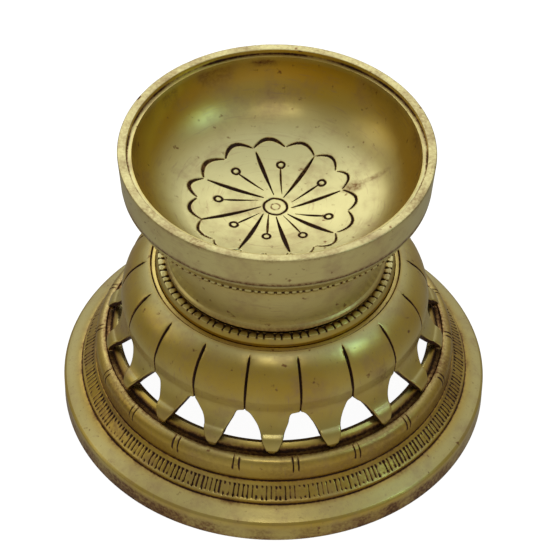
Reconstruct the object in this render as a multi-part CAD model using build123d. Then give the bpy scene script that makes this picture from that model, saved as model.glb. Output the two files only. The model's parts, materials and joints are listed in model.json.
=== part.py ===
from build123d import *
import math
import os

# Pierced lotus stand with a turned bowl that unscrews from it, in brass.
# Millimetres, +Z up, origin at the centre of the base ring's resting face.

# ---- driving dimensions ----
BASE_R = 70.0            # outer radius of the base ring
# degrees by which each hand-cut division between petals lies past its even place
WANDER = (1.0, 1.0, 0.3, -0.2, -0.3, 0.2, 0.8, 1.2, 2.4,
          3.2, 3.0, 2.6, 2.3, 2.0, 1.7, 1.5, 1.3, 1.1)
PETAL_PITCH = 360.0 / len(WANDER)
FIRST_DIVISION = -180.0
SHELL_T = 3.0            # thickness of the cast dome
TIP_T = 1.9              # thickness of a petal near its tip

# base ring, read from the outer edge inwards
FLANGE_TOP_Z = 7.6
BAND_OUT_R, BAND_OUT_Z = 63.8, 10.4
BAND_IN_R, BAND_IN_Z = 58.7, 16.1
SEAT_Z = 24.7            # annular seat that the petal tips stand on
SEAT_OUT_R = 55.6
SEAT_IN_R = 53.6
LEDGE_TOP_Z = 26.6
LEDGE_IN_R = 51.8
GROOVE_DEPTH = 0.7
BAND_LINE_DEPTH = 0.5
FOOT_EDGE_W = 4.5        # width of the face that the stand rests on
FOOT_EDGE_H = 3.6
LEDGE_W = 1.2
LEDGE_H = 4.6

# skirt
BULGE_R, BULGE_Z = 50.2, 44.5
SHOULDER_R, SHOULDER_Z = 40.5, 56.7
DOME_END_ANGLE = -8.0    # degrees above level where the dome's arc ends
WAIST = (49.75, 38.8)    # narrowest ring below the dome
BEND = (50.55, 34.5)     # middle of the hollow curve between waist and knee
KNEE = (52.8, 31.2)      # where a petal turns from hollow to rounded
BROW = (54.75, 29.6)     # middle of the rounded curve between knee and lip
LIP = (55.7, 26.8)       # outermost ring of the petals
TIP_OUT_R = 55.3
WAIST_HEADING, BEND_HEADING, KNEE_HEADING = -93.0, -61.0, -31.0
BROW_HEADING, LIP_HEADING = -54.0, -78.0
INSIDE_TOP_ANGLE = 84.0  # degrees above level where the dome's inside meets the crown plate
GAP_APEX_Z = 37.8        # top of the openings between petals
# one opening between petals: half its width at each height, from below the tips to the apex
GAP_HALF = ((8.2, 22.0), (8.1, 26.0), (7.9, 27.2), (7.4, 28.3), (6.8, 29.2), (6.2, 30.2), (5.5, 31.2),
            (4.7, 32.5), (3.7, 34.0), (2.9, 35.3), (2.1, 36.6), (1.3, 37.4), (0.7, GAP_APEX_Z))
CROWN_TOP_Z = 51.5       # sunken plate that carries the bush
CROWN_T = 3.0
WELL_R = 36.0            # wall of the recess that the foot stands in
COLLAR_SEAT_Z = 55.5

# collar ring
COLLAR_OUT_R = 38.4
COLLAR_IN_R = 35.4       # stands clear of the foot's lip
CREST_R, CREST_Z = 37.1, 59.7

# foot and bowl
FOOT_LIP_R, FOOT_LIP_Z = 35.0, 60.6
FOOT_TOP_Z = 85.0
HUB_R = 15.0
BEAD_R, BEAD_Z = 44.1, 85.8
SEAM_R, SEAM_Z = 49.0, 93.8
RIM_R, RIM_Z = 49.9, 105.8
RIM_IN_R = 47.05
REBATE_R, REBATE_DEPTH = 45.4, 1.6
BOWL_FLOOR_Z = 81.0      # lowest point of the bowl's inside
BOWL_FLOOR_CURVE = 112.0 # radius of the shallow dish of the floor
BOWL_BEND_R = 30.0       # where the floor turns up into the wall
BOWL_WALL_T = 2.0

# screw fixing, hidden in the recess
STUD_R = 5.0
STUD_BOTTOM_Z = 40.5
STUD_CHAMFER = 1.0
FIT_CLEARANCE = 0.05     # radial clearance that stands for the thread
WASHER_T = 1.0
WASHER_R = 14.0
BUSH_R = 11.0
BUSH_FLANGE_R = 16.0
BUSH_BOTTOM_Z = 40.5
BUSH_FLANGE_T = 2.5
NUT_FLATS = 17.0
NUT_T = 6.0
WASHER_GAP = 0.3         # stands for face contact above and below the washer
HUB_BOTTOM_Z = CROWN_TOP_Z + WASHER_T + 2 * WASHER_GAP
HUB_T = 4.0              # hub above the foot's lip


def revolved(face):
    """Solid of revolution about the Z axis of a profile drawn in the XZ plane."""
    return revolve(face, axis=Axis.Z, revolution_arc=360)


def profile(*points):
    """Closed straight-edged profile, points given as (radius, height)."""
    return make_face(Plane.XZ * Polyline(*points, close=True))


def groove_ring(radius, height, size):
    """Small ring of triangular section that cuts a turned line."""
    section = profile((radius - size, height), (radius, height - size),
                      (radius + size, height), (radius, height + size))
    return revolved(section)


def base_ring():
    """Stepped conical plinth, open underneath, with a seat for the petal tips."""
    outline = Plane.XZ * (
        Polyline((LEDGE_IN_R - LEDGE_W, LEDGE_TOP_Z - LEDGE_H), (LEDGE_IN_R - LEDGE_W, LEDGE_TOP_Z),
                 (LEDGE_IN_R, LEDGE_TOP_Z), (SEAT_IN_R, SEAT_Z + 1.0), (SEAT_IN_R, SEAT_Z),
                 (SEAT_OUT_R, SEAT_Z))
        + ThreePointArc((SEAT_OUT_R, SEAT_Z), (58.9, 21.6), (BAND_IN_R + 0.4, BAND_IN_Z + 0.6))
        + Polyline((BAND_IN_R + 0.4, BAND_IN_Z + 0.6), (BAND_IN_R, BAND_IN_Z),
                   (BAND_OUT_R - 1.3, BAND_OUT_Z + 1.9))
        + ThreePointArc((BAND_OUT_R - 1.3, BAND_OUT_Z + 1.9), (BAND_OUT_R - 0.2, BAND_OUT_Z + 1.3),
                        (BAND_OUT_R, BAND_OUT_Z))
        + Polyline((BAND_OUT_R, BAND_OUT_Z), (BASE_R - 0.9, FLANGE_TOP_Z + 0.3))
        + ThreePointArc((BASE_R - 0.9, FLANGE_TOP_Z + 0.3), (BASE_R - 0.22, FLANGE_TOP_Z - 0.2),
                        (BASE_R, FLANGE_TOP_Z - 0.9))
        + Polyline((BASE_R, FLANGE_TOP_Z - 0.9), (BASE_R, 0), (BASE_R - FOOT_EDGE_W, 0),
                   (BASE_R - FOOT_EDGE_W, FOOT_EDGE_H), (LEDGE_IN_R - LEDGE_W, LEDGE_TOP_Z - LEDGE_H))
    )
    ring = revolved(make_face(outline))
    ring -= groove_ring(BAND_OUT_R + 0.2, BAND_OUT_Z, GROOVE_DEPTH)
    ring -= groove_ring(BAND_IN_R, BAND_IN_Z, BAND_LINE_DEPTH)
    return ring


def inwards(point, direction, depth):
    """Point at a depth inside the skirt; direction is the outline's heading there, in degrees."""
    angle = math.radians(direction)
    return (point[0] + depth * math.sin(angle), point[1] - depth * math.cos(angle))


def skirt_section():
    """Closed section of the skirt: crown plate, well, shoulder, dome, waist and curled petal."""
    drop = SHOULDER_Z - BULGE_Z
    run = BULGE_R - SHOULDER_R
    dome_r = (run * run + drop * drop) / (2 * run)
    centre = (BULGE_R - dome_r, BULGE_Z)

    def dome(radius, degrees):
        angle = math.radians(degrees)
        return (centre[0] + radius * math.cos(angle), centre[1] + radius * math.sin(angle))

    top = math.degrees(math.atan2(SHOULDER_Z - centre[1], SHOULDER_R - centre[0]))
    inside = dome_r - SHELL_T
    knee_t = (SHELL_T + TIP_T) / 2
    under = CROWN_TOP_Z - CROWN_T
    outer = (
        ThreePointArc(dome(dome_r, top), dome(dome_r, (top + DOME_END_ANGLE) / 2),
                      dome(dome_r, DOME_END_ANGLE))
        + Line(dome(dome_r, DOME_END_ANGLE), WAIST)
        + ThreePointArc(WAIST, BEND, KNEE)
        + ThreePointArc(KNEE, BROW, LIP)
        + Line(LIP, (TIP_OUT_R, SEAT_Z))
    )
    lip_in = inwards(LIP, LIP_HEADING, TIP_T)
    knee_in = inwards(KNEE, KNEE_HEADING, knee_t)
    waist_in = inwards(WAIST, WAIST_HEADING, SHELL_T)
    inner = (
        Polyline((TIP_OUT_R, SEAT_Z), (lip_in[0] - 0.1, SEAT_Z), lip_in)
        + ThreePointArc(lip_in, inwards(BROW, BROW_HEADING, TIP_T + 0.2), knee_in)
        + ThreePointArc(knee_in, inwards(BEND, BEND_HEADING, SHELL_T), waist_in)
        + Line(waist_in, dome(inside, DOME_END_ANGLE))
        + ThreePointArc(dome(inside, DOME_END_ANGLE), dome(inside, (INSIDE_TOP_ANGLE + DOME_END_ANGLE) / 2),
                        dome(inside, INSIDE_TOP_ANGLE))
    )
    crown = Polyline(dome(inside, INSIDE_TOP_ANGLE), (WELL_R + SHELL_T * 0.4, under), (BUSH_R, under),
                     (BUSH_R, CROWN_TOP_Z), (WELL_R, CROWN_TOP_Z), (WELL_R, COLLAR_SEAT_Z),
                     (COLLAR_OUT_R + 0.3, COLLAR_SEAT_Z), (SHOULDER_R, SHOULDER_Z))
    return make_face(Plane.XZ * (outer + inner + crown))


def gap_cutter():
    """Cutter for one opening between two petals, pointing along +X."""
    outline = Polyline(*GAP_HALF, *((-y, z) for y, z in reversed(GAP_HALF)), close=True)
    return extrude(Plane.YZ * make_face(outline), amount=BASE_R)


def lotus_skirt():
    """Cast dome cut into petals whose tips are filed level to stand on the base ring."""
    skirt = revolved(skirt_section())
    cutter = gap_cutter()
    for index, wander in enumerate(WANDER):
        skirt -= Rot(0, 0, FIRST_DIVISION + index * PETAL_PITCH + wander) * cutter
    filed = Pos(0, 0, SEAT_Z) * Cylinder(BASE_R, SEAT_Z, align=(Align.CENTER, Align.CENTER, Align.MAX))
    filed += Cylinder(SEAT_IN_R, LEDGE_TOP_Z, align=(Align.CENTER, Align.CENTER, Align.MIN))
    return skirt - filed


def collar_ring():
    """Turned ring with a notched crest that frames the recess around the foot."""
    outline = Plane.XZ * (
        Polyline((COLLAR_IN_R, COLLAR_SEAT_Z), (COLLAR_IN_R, CREST_Z - 0.4), (COLLAR_IN_R + 0.4, CREST_Z),
                 (CREST_R + 0.3, CREST_Z))
        + ThreePointArc((CREST_R + 0.3, CREST_Z), (COLLAR_OUT_R + 0.2, CREST_Z - 1.9),
                        (COLLAR_OUT_R, COLLAR_SEAT_Z + 0.5))
        + Polyline((COLLAR_OUT_R, COLLAR_SEAT_Z + 0.5), (COLLAR_OUT_R, COLLAR_SEAT_Z),
                   (COLLAR_IN_R, COLLAR_SEAT_Z))
    )
    return revolved(make_face(outline))


def threaded_bush():
    """Flanged bush brazed in the crown plate; its bore takes the stud."""
    bore = STUD_R + FIT_CLEARANCE
    under = CROWN_TOP_Z - CROWN_T
    return revolved(profile((bore, CROWN_TOP_Z), (BUSH_R, CROWN_TOP_Z), (BUSH_R, under),
                            (BUSH_FLANGE_R, under), (BUSH_FLANGE_R, under - BUSH_FLANGE_T),
                            (BUSH_R, under - BUSH_FLANGE_T), (BUSH_R, BUSH_BOTTOM_Z),
                            (bore, BUSH_BOTTOM_Z)))


def seat_washer():
    """Washer on the stud under the foot's hub."""
    bottom = CROWN_TOP_Z + WASHER_GAP
    inner = STUD_R + 2 * FIT_CLEARANCE
    return revolved(profile((inner, bottom), (WASHER_R, bottom), (WASHER_R, bottom + WASHER_T),
                            (inner, bottom + WASHER_T)))


def foot_stud():
    """Plain stud standing for the threaded one, from the foot's hub down into the bush."""
    top = FOOT_LIP_Z + HUB_T + NUT_T
    return revolved(profile((0, STUD_BOTTOM_Z), (STUD_R - STUD_CHAMFER, STUD_BOTTOM_Z),
                            (STUD_R, STUD_BOTTOM_Z + STUD_CHAMFER), (STUD_R, top), (0, top)))


def stud_nut():
    """Hexagonal nut that locks the stud inside the hollow foot."""
    blank = extrude(RegularPolygon(NUT_FLATS / 2, 6, major_radius=False), amount=NUT_T)
    blank -= Cylinder(STUD_R, NUT_T, align=(Align.CENTER, Align.CENTER, Align.MIN))
    return Pos(0, 0, FOOT_LIP_Z + HUB_T) * blank


def bowl_foot():
    """Hollow turned drum with a lip, a hub for the stud and a notched bead at its head."""
    floor = FOOT_LIP_Z + HUB_T
    outline = Plane.XZ * (
        Polyline((STUD_R, HUB_BOTTOM_Z), (HUB_R, HUB_BOTTOM_Z), (HUB_R, FOOT_LIP_Z),
                 (FOOT_LIP_R - 0.9, FOOT_LIP_Z), (FOOT_LIP_R, FOOT_LIP_Z + 1.2),
                 (FOOT_LIP_R - 0.2, FOOT_LIP_Z + 1.7), (36.5, 79.6))
        + ThreePointArc((36.5, 79.6), (38.6, 83.2), (42.6, 84.9))
        + Polyline((42.6, 84.9), (BEAD_R, BEAD_Z), (SEAM_R, SEAM_Z), (44.9, SEAM_Z),
                   (43.0, 90.3), (39.5, 86.6), (36.4, 83.6), (34.2, 81.0), (33.2, floor + 1.5),
                   (31.5, floor), (STUD_R, floor), (STUD_R, HUB_BOTTOM_Z))
    )
    return revolved(make_face(outline))


def bowl_bend(lift):
    """Centre and radius of the wall's arc, tangent to the floor and ending at the rebate's ledge."""
    slope = math.asin(BOWL_BEND_R / BOWL_FLOOR_CURVE)
    start = (BOWL_BEND_R, lift - BOWL_FLOOR_CURVE * math.cos(slope))
    run = REBATE_R - start[0]
    rise = RIM_Z - REBATE_DEPTH - start[1]
    radius = (run * run + rise * rise) / (2 * (rise * math.cos(slope) - run * math.sin(slope)))
    centre = (start[0] - radius * math.sin(slope), start[1] + radius * math.cos(slope))
    return centre, radius, slope


def bowl():
    """Turned cup: dished floor, wall bent up to the rim, rebate inside the rim."""
    lift = BOWL_FLOOR_Z + BOWL_FLOOR_CURVE
    centre, radius, slope = bowl_bend(lift)
    ledge = (REBATE_R, RIM_Z - REBATE_DEPTH)
    end = math.atan2(ledge[1] - centre[1], ledge[0] - centre[0])

    def floor_at(angle, depth):
        reach = BOWL_FLOOR_CURVE + depth
        return (reach * math.sin(angle), lift - reach * math.cos(angle))

    def bend_at(angle, depth):
        reach = radius + depth
        return (centre[0] + reach * math.cos(angle), centre[1] + reach * math.sin(angle))

    start = slope - math.pi / 2
    out = radius + BOWL_WALL_T
    outer_end = -math.asin((centre[1] - SEAM_Z) / out)
    outline = Plane.XZ * (
        ThreePointArc(floor_at(0, 0), floor_at(slope / 2, 0), floor_at(slope, 0))
        + ThreePointArc(floor_at(slope, 0), bend_at((start + end) / 2, 0), ledge)
        + Polyline(ledge, (RIM_IN_R, ledge[1]), (RIM_IN_R, RIM_Z), (RIM_R, RIM_Z), (SEAM_R, SEAM_Z),
                   bend_at(outer_end, BOWL_WALL_T))
        + ThreePointArc(bend_at(outer_end, BOWL_WALL_T),
                        bend_at((start + outer_end) / 2, BOWL_WALL_T), floor_at(slope, BOWL_WALL_T))
        + ThreePointArc(floor_at(slope, BOWL_WALL_T), floor_at(slope / 2, BOWL_WALL_T),
                        floor_at(0, BOWL_WALL_T))
        + Line(floor_at(0, BOWL_WALL_T), floor_at(0, 0))
    )
    return revolved(make_face(outline))


PARTS = {
    "base_ring": base_ring,
    "lotus_skirt": lotus_skirt,
    "collar_ring": collar_ring,
    "threaded_bush": threaded_bush,
    "seat_washer": seat_washer,
    "foot_stud": foot_stud,
    "stud_nut": stud_nut,
    "bowl_foot": bowl_foot,
    "bowl": bowl,
}

os.makedirs("parts", exist_ok=True)
for name, build in PARTS.items():
    export_step(build(), f"parts/{name}.step")
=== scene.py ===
import json
import logging
import math
from dataclasses import dataclass
from enum import Enum
from typing import Sequence

import bpy
import numpy as np
from mathutils import Matrix, Vector


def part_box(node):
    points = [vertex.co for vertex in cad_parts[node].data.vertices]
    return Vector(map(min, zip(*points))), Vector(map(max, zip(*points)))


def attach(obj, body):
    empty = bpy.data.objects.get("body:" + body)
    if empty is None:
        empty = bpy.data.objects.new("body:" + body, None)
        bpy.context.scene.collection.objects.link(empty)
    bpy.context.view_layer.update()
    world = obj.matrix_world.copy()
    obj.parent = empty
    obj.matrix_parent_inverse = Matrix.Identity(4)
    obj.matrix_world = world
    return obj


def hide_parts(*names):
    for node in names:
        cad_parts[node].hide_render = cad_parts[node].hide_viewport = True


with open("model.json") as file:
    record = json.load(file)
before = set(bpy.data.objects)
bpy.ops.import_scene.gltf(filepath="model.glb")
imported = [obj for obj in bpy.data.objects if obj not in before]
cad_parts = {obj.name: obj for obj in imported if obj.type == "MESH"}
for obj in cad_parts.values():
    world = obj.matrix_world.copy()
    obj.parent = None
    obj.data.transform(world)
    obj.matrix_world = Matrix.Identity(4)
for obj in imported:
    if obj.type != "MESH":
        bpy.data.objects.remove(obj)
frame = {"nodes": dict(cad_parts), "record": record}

LOG = logging.getLogger("lotus_lamp")
MM = 0.001
# metres within which two vertices count as one, on a turned piece and along a petal's seam
WELD = 2e-7
SEAM_WELD = 2e-6
# millimetres, further off than anything on the lamp
FAR = 99.0
Colour = tuple[float, float, float, float]
Point = tuple[float, float]
Corner = tuple[float, float, float, float]


# ---------------------------------------------------------------- small tools

def deselect_all() -> None:
    """Leaves object mode with nothing selected."""
    if bpy.context.object and bpy.context.object.mode != "OBJECT":
        bpy.ops.object.mode_set(mode="OBJECT")
    bpy.ops.object.select_all(action="DESELECT")


def pick(piece: bpy.types.Object) -> None:
    """Makes one object the only selected and active one."""
    deselect_all()
    piece.select_set(True)
    bpy.context.view_layer.objects.active = piece


def run(start: Point, end: Point, spacing: float) -> list[Point]:
    """Even points from just after start up to and including end.

    Args:
        start: Radius and height where the run begins.
        end: Radius and height where it ends.
        spacing: Largest distance between two points.

    Returns:
        The points, without start.
    """
    length = math.dist(start, end)
    count = max(1, math.ceil(length / spacing))
    return [(start[0] + (end[0] - start[0]) * i / count,
             start[1] + (end[1] - start[1]) * i / count) for i in range(1, count + 1)]


def contour(corners: Sequence[Corner], closed: bool = True, turn_step: float = 15.0) -> list[Point]:
    """Rounds the corners of an outline and divides its straight runs.

    Args:
        corners: (radius, height, rounding, spacing), where spacing is for the run that ends there.
        closed: Whether the last corner joins the first.
        turn_step: Degrees of turn for each facet of a rounded corner.

    Returns:
        Points of radius and height; a closed outline repeats its first point at the end.
    """
    count = len(corners)
    pieces: list[tuple[list[Point], float]] = []
    for index, (radius, height, rounding, spacing) in enumerate(corners):
        here = Vector((radius, height))
        ends = not closed and index in (0, count - 1)
        if ends or rounding <= 0:
            pieces.append(([tuple(here)], spacing))
            continue
        back = (Vector(corners[index - 1][:2]) - here).normalized()
        ahead = (Vector(corners[(index + 1) % count][:2]) - here).normalized()
        half = back.angle(ahead) / 2
        reach = rounding / math.tan(half)
        centre = here + (back + ahead).normalized() * rounding / math.sin(half)
        first, last = here + back * reach, here + ahead * reach
        sweep = math.pi - 2 * half
        facets = max(2, math.ceil(math.degrees(sweep) / turn_step))
        from_c, to_c = first - centre, last - centre
        side = math.copysign(1.0, from_c.x * to_c.y - from_c.y * to_c.x)
        arc = []
        for step in range(facets + 1):
            angle = side * sweep * step / facets
            cos_a, sin_a = math.cos(angle), math.sin(angle)
            arc.append((centre.x + from_c.x * cos_a - from_c.y * sin_a,
                        centre.y + from_c.x * sin_a + from_c.y * cos_a))
        pieces.append((arc, spacing))
    points = list(pieces[0][0])
    for arc, spacing in pieces[1:]:
        points += run(points[-1], arc[0], spacing) + arc[1:]
    if closed:
        points += run(points[-1], points[0], pieces[0][1])
    return points


def bend(start: Point, middle: Point, end: Point, spacing: float) -> list[Point]:
    """Points along the arc through three points, without its start.

    Args:
        start: Where the arc begins.
        middle: A point it passes through.
        end: Where it ends.
        spacing: Largest distance between two points.

    Returns:
        Points of radius and height, the last of them the end.
    """
    first, second = Vector(middle) - Vector(start), Vector(end) - Vector(start)
    across = 2 * (first.x * second.y - first.y * second.x)
    centre = Vector(((first.length_squared * second.y - second.length_squared * first.y) / across,
                     (second.length_squared * first.x - first.length_squared * second.x) / across))
    radius = centre.length
    centre += Vector(start)
    side = math.copysign(1.0, across)
    angle_from = math.atan2(start[1] - centre.y, start[0] - centre.x)
    angle_to = math.atan2(end[1] - centre.y, end[0] - centre.x)
    sweep = side * ((side * (angle_to - angle_from)) % math.tau)
    count = max(2, math.ceil(abs(sweep) * radius / spacing))
    angles = [angle_from + sweep * index / count for index in range(1, count + 1)]
    return [(centre.x + radius * math.cos(a), centre.y + radius * math.sin(a)) for a in angles]


def turned(name: str, outline: Sequence[Point], steps: int) -> bpy.types.Object:
    """Turns a piece as on a lathe: a point is extruded along the outline, then swept round Z.

    Args:
        name: The piece's name.
        outline: Points of radius and height in millimetres.
        steps: Facets around the axis.

    Returns:
        The mesh object, at the origin, with its faces pointing outwards.
    """
    deselect_all()
    bpy.ops.mesh.primitive_plane_add(size=MM)
    piece = bpy.context.object
    piece.name = piece.data.name = name
    bpy.ops.object.mode_set(mode="EDIT")
    bpy.ops.mesh.select_all(action="SELECT")
    bpy.ops.mesh.merge(type="CENTER")
    bpy.ops.transform.translate(value=(outline[0][0] * MM, 0, outline[0][1] * MM))
    for here, there in zip(outline, outline[1:]):
        step = ((there[0] - here[0]) * MM, 0, (there[1] - here[1]) * MM)
        bpy.ops.mesh.extrude_region_move(TRANSFORM_OT_translate={"value": step})
    bpy.ops.object.mode_set(mode="OBJECT")
    apply_modifier(piece, "SCREW", axis="Z", angle=math.tau, screw_offset=0.0, steps=steps,
                   render_steps=steps, use_merge_vertices=True, merge_threshold=WELD)
    bpy.ops.object.mode_set(mode="EDIT")
    bpy.ops.mesh.select_all(action="SELECT")
    bpy.ops.mesh.remove_doubles(threshold=WELD)
    bpy.ops.mesh.normals_make_consistent(inside=False)
    bpy.ops.object.mode_set(mode="OBJECT")
    return piece


def places(piece: bpy.types.Object) -> np.ndarray:
    """Vertex coordinates in millimetres, one row each."""
    flat = np.empty(len(piece.data.vertices) * 3)
    piece.data.vertices.foreach_get("co", flat)
    return flat.reshape(-1, 3) / MM


def facing(piece: bpy.types.Object) -> np.ndarray:
    """Vertex normals, one row each."""
    flat = np.empty(len(piece.data.vertices) * 3)
    piece.data.vertices.foreach_get("normal", flat)
    return flat.reshape(-1, 3)


def round_axis(at: np.ndarray) -> tuple[np.ndarray, np.ndarray, np.ndarray]:
    """Radius, height and degrees about the axis, for every point."""
    return np.hypot(at[:, 0], at[:, 1]), at[:, 2], np.degrees(np.arctan2(at[:, 1], at[:, 0]))


def outwardness(at: np.ndarray, normal: np.ndarray) -> np.ndarray:
    """How far each normal points away from the axis, times the point's radius."""
    return at[:, 0] * normal[:, 0] + at[:, 1] * normal[:, 1]


def put(piece: bpy.types.Object, points: np.ndarray) -> None:
    """Writes vertex coordinates, given in millimetres."""
    piece.data.vertices.foreach_set("co", (points * MM).ravel())
    piece.data.update()


def cut_in(piece: bpy.types.Object, depth: np.ndarray) -> None:
    """Presses each vertex in against its normal by a depth in millimetres."""
    put(piece, places(piece) - facing(piece) * depth[:, None])


def paint(piece: bpy.types.Object, grime_and_shade: np.ndarray, amber_and_shade: np.ndarray, wiped: float = 0.0) -> None:
    """Stores three shares for each vertex, which the brass material reads.

    Args:
        piece: The mesh to mark.
        grime_and_shade: How tarnished each vertex is, together with painted shade where a piece puts it.
        amber_and_shade: How deeply yellowed it is, as in corners that no polish reaches, and where deeper
            yellow is painted shade.
        wiped: How rubbed the whole piece is; level faces are always painted pale, a painted sheen.
    """
    # painted sheen: faces turned up are painted pale, and wiped adds rubbed wear over the whole piece;
    # yellowed places are kept from going pale
    rubbed_and_sheen = np.maximum(fade(facing(piece)[:, 2], 0.70, 1.0), wiped) * (1 - np.clip(amber_and_shade, 0, 1))
    for name, values in (("grime_and_shade", grime_and_shade), ("amber_and_shade", amber_and_shade), ("rubbed_and_sheen", rubbed_and_sheen)):
        layer = piece.data.attributes.new(name, "FLOAT", "POINT")
        layer.data.foreach_set("value", np.clip(values, 0.0, 1.0).astype(np.float32))


def triangle_count(piece: bpy.types.Object) -> int:
    """How many triangles a piece's faces come to."""
    return sum(len(face.vertices) - 2 for face in piece.data.polygons)


def smooth(piece: bpy.types.Object, degrees: float = 38.0) -> None:
    """Shades smoothly, keeping edges sharper than the given angle."""
    pick(piece)
    bpy.ops.object.shade_smooth_by_angle(angle=math.radians(degrees))


def apply_modifier(piece: bpy.types.Object, kind: str, **settings: object) -> None:
    """Adds a modifier of a kind with its settings and applies it at once."""
    pick(piece)
    modifier = piece.modifiers.new(kind.title(), kind)
    for key, value in settings.items():
        setattr(modifier, key, value)
    bpy.ops.object.modifier_apply(modifier=modifier.name)


def fade(values: np.ndarray, low: float, high: float) -> np.ndarray:
    """Smooth step from 0 at low to 1 at high; runs the other way when low is above high."""
    t = np.clip((values - low) / (high - low), 0.0, 1.0)
    return t * t * (3 - 2 * t)


def near_line(radius: np.ndarray, height: np.ndarray, at: Point, reach: float) -> np.ndarray:
    """How close points are to a turned line, 1 on it and falling off over reach."""
    return np.exp(-((radius - at[0]) ** 2 + (height - at[1]) ** 2) / (reach * reach))


def wrap(angle: np.ndarray) -> np.ndarray:
    """Degrees brought into -180 to 180."""
    return (angle + 180.0) % 360.0 - 180.0


def ripple(angle: np.ndarray, seed: int, waves: int = 9) -> np.ndarray:
    """Slow, closed wander around the axis, roughly -1 to 1.

    Args:
        angle: Degrees about the axis.
        seed: Seed of the wander.
        waves: Highest number of waves around the circle.

    Returns:
        One value for each angle.
    """
    rng = np.random.default_rng(seed)
    total = np.zeros_like(angle)
    for wave in range(1, waves + 1):
        total += rng.normal() * np.sin(np.radians(angle) * wave + rng.uniform(0, math.tau))
    return total / math.sqrt(waves)


def stroke_row(angle: np.ndarray, count: int, jitter: float, seed: int) -> tuple[np.ndarray, ...]:
    """Distance to the nearest of a row of hand-struck marks around a ring.

    Args:
        angle: Degrees about the axis of every point.
        count: Marks in the row.
        jitter: Wander of a mark, as a share of the pitch.
        seed: Seed of the wander.

    Returns:
        Degrees to the nearest mark, and that mark's own strength from about 0.6 to 1.2.
    """
    rng = np.random.default_rng(seed)
    pitch = 360.0 / count
    marks = np.arange(count) * pitch + rng.uniform(-jitter, jitter, count) * pitch
    force = rng.uniform(0.6, 1.2, count)
    here = angle % 360.0
    best = np.full_like(here, 360.0)
    power = np.ones_like(here)
    base = np.floor(here / pitch).astype(int)
    for shift in (-1, 0, 1, 2):
        index = (base + shift) % count
        gap = wrap(here - marks[index])
        closer = np.abs(gap) < np.abs(best)
        best = np.where(closer, gap, best)
        power = np.where(closer, force[index], power)
    return best, power


# ---------------------------------------------------------------- finishes

class Making(Enum):
    """How a surface was made, which decides its fine texture."""

    TURNED = "turned"
    CAST = "cast"


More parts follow.
